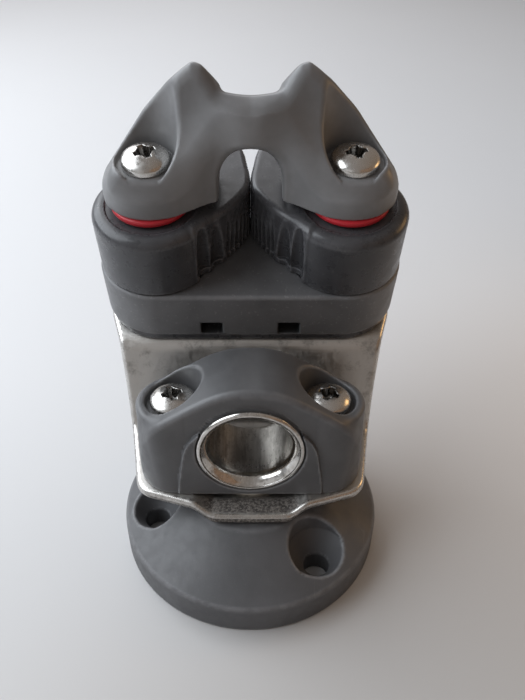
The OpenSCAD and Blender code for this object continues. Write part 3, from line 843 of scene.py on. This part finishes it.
def f_bridge(x, u, w):
    ax = np.abs(x)
    drop = 4.6 * step(1.5, 13, ax) * (1 - step(1, 7, u))
    xe = ax + 0.27 * np.maximum(u - 1, 0) * step(6, 14, ax)
    d = rmax(bf(xe, w), bp(x, u), 1.8)
    d = rmax(d, bs(u, w + drop * step(27, 33, w)), 2.4)
    d = rmax(d, -rmax(ax - 5.3, 46.5 + 0.03 * x * x - 0.7 * np.maximum(u - 3, 0) - w, 1.2), 1.1)
    d = rmax(d, FOOT - w, 0.5)
    door = np.where(w > 30.6, np.hypot(x, (w - 30.6) * 0.76) - 6.0, ax - 6.0)
    d = rmax(d, -door, 0.7 + 0.9 * step(31, 38, w))
    well = np.maximum(np.hypot(ax - PX, u) - 5.4 - 0.12 * np.maximum(w - HEAD_W, 0), HEAD_W - w)
    d = rmax(d, -well, 0.8)
    return rmax(d, -(np.hypot(ax - PX, u) - 2.6), 0.2)


bridge = solid("bridge_moulding", f_bridge, (-28.8, -8.2, FOOT), (28.8, 10.8, 53), 0.4, cleat)
give(dress(bridge, GREY_BRIDGE), "arm", "moulded_grey", "bridge")

# ---------------------------------------------------------------- inner CAD pieces keep their own meshes
finish_of = {
    "pivot_post": PLAIN, "pivot_cap": PLAIN, "lower_thrust_washer": WHITE, "pivot_bush": WHITE, "upper_thrust_washer": WHITE,
    "fairlead_press_nuts": PLAIN, "cam_post_left": PLAIN, "cam_post_right": PLAIN, "cleat_washers": PLAIN, "cleat_nuts": PLAIN,
    "nut_lock_rings": BLUE, "balls_left": HEADS, "balls_right": HEADS, "spring_left": WIRE, "spring_right": WIRE,
}
for name, mat in finish_of.items():
    ob = frame["nodes"][name]
    dress(ob, mat)
    if not name.startswith(("balls", "spring")):
        bev = ob.modifiers.new("edge", "BEVEL")
        bev.width, bev.segments, bev.limit_method, bev.angle_limit = 0.00012, 2, "ANGLE", math.radians(40)
        bev.use_clamp_overlap = True

# ---------------------------------------------------------------- floor, light, camera
FLOOR_Z = base_lo[2] * MM - 0.0001
k = Nodes("floor_paint")
spot = k.noise(9, 3, 0.5)
# the floor colour darkens to a warm brown towards the front right: painted shade
front_right_painted_shade = k.ramp(k.math("ADD", k.math("MULTIPLY", k.axis(0), 0.55), k.math("MULTIPLY", k.axis(1), -0.83)), -0.10, 0.16)
pale_floor = k.mix(spot, (0.655, 0.66, 0.675), (0.68, 0.685, 0.695))
k.put(k.b.inputs["Base Color"], k.mix(front_right_painted_shade, pale_floor, (0.41, 0.385, 0.36)))
k.b.inputs["Roughness"].default_value = 0.62
k.put(k.b.inputs["Normal"], k.bump(k.noise(900, 3, 0.6), 0.05, 0.0001))
me = bpy.data.meshes.new("floor")
s = 1.6
me.from_pydata([(-s, -s, FLOOR_Z), (s, -s, FLOOR_Z), (s, s, FLOOR_Z), (-s, s, FLOOR_Z)], [], [(0, 1, 2, 3)])
floor = bpy.data.objects.new("floor", me)
bpy.context.scene.collection.objects.link(floor)
floor.data.materials.append(k.m)


def area(name, at, aim, size, power, colour, size_y=None):
    l = bpy.data.lights.new(name, "AREA")
    l.shape = "RECTANGLE"
    l.size, l.size_y = size, size_y or size
    l.energy, l.color = power, colour
    o = bpy.data.objects.new(name, l)
    o.location = at
    o.rotation_mode = "QUATERNION"
    o.rotation_quaternion = (Vector(aim) - Vector(at)).to_track_quat("-Z", "Y")
    bpy.context.scene.collection.objects.link(o)
    return o


area("window", (-0.36, 0.06, 0.34), (0, 0, 0.04), 0.60, 3.1, (0.88, 0.94, 1.0), 0.42)
area("back_light", (-0.20, 0.60, 0.50), (0, 0.05, 0.03), 0.6, 2.1, (0.96, 0.97, 1.0))
area("front_card", (-0.40, -0.70, 0.30), (0, 0, 0.04), 0.5, 0.20, (0.96, 0.97, 1.0))
area("warm_glow", (0.13, 0.04, 0.085), (0.045, 0.0, 0), 0.05, 0.016, (1.0, 0.60, 0.25))

# a warm brown board stands to the right, out of the picture, as furniture would
wood = Nodes("brown_board")
wood.put(wood.b.inputs["Base Color"], wood.mix(wood.noise(20, 3, 0.6, wood.scaled((1.0, 6.0, 1.0))), (0.20, 0.11, 0.055), (0.28, 0.16, 0.085)))
wood.b.inputs["Roughness"].default_value = 0.5
me = bpy.data.meshes.new("board")
me.from_pydata([(0.16, -0.42, 0.0), (0.40, -0.10, 0.0), (0.40, -0.10, 0.34), (0.16, -0.42, 0.34)], [], [(0, 1, 2, 3)])
board = bpy.data.objects.new("board", me)
bpy.context.scene.collection.objects.link(board)
board.data.materials.append(wood.m)

world_ = bpy.data.worlds.new("room")
world_.use_nodes = True
nt = world_.node_tree
bg = nt.nodes["Background"]
tc = nt.nodes.new("ShaderNodeTexCoord")
sp = nt.nodes.new("ShaderNodeSeparateXYZ")
nt.links.new(tc.outputs["Generated"], sp.inputs[0])
mr = nt.nodes.new("ShaderNodeMapRange")
mr.inputs["From Min"].default_value, mr.inputs["From Max"].default_value = -0.8, 0.8
nt.links.new(sp.outputs[0], mr.inputs["Value"])
mx = nt.nodes.new("ShaderNodeMix")
mx.data_type = "RGBA"
nt.links.new(mr.outputs[0], mx.inputs[0])
mx.inputs[6].default_value = (0.60, 0.61, 0.63, 1)
mx.inputs[7].default_value = (0.44, 0.35, 0.28, 1)
nt.links.new(mx.outputs[2], bg.inputs["Color"])
bg.inputs["Strength"].default_value = 0.50
bpy.context.scene.world = world_

cam = bpy.data.cameras.new("view")
cam.lens, cam.sensor_width, cam.shift_x = 34.97, 36.0, 0.0173
cam.clip_start, cam.clip_end = 0.005, 10
camera = bpy.data.objects.new("view", cam)
camera.location = (0, -0.09896, 0.12651)
camera.rotation_euler = (math.radians(90 - 38.12), 0, 0)
bpy.context.scene.collection.objects.link(camera)
bpy.context.scene.camera = camera
bpy.context.scene.view_settings.view_transform = "Standard"
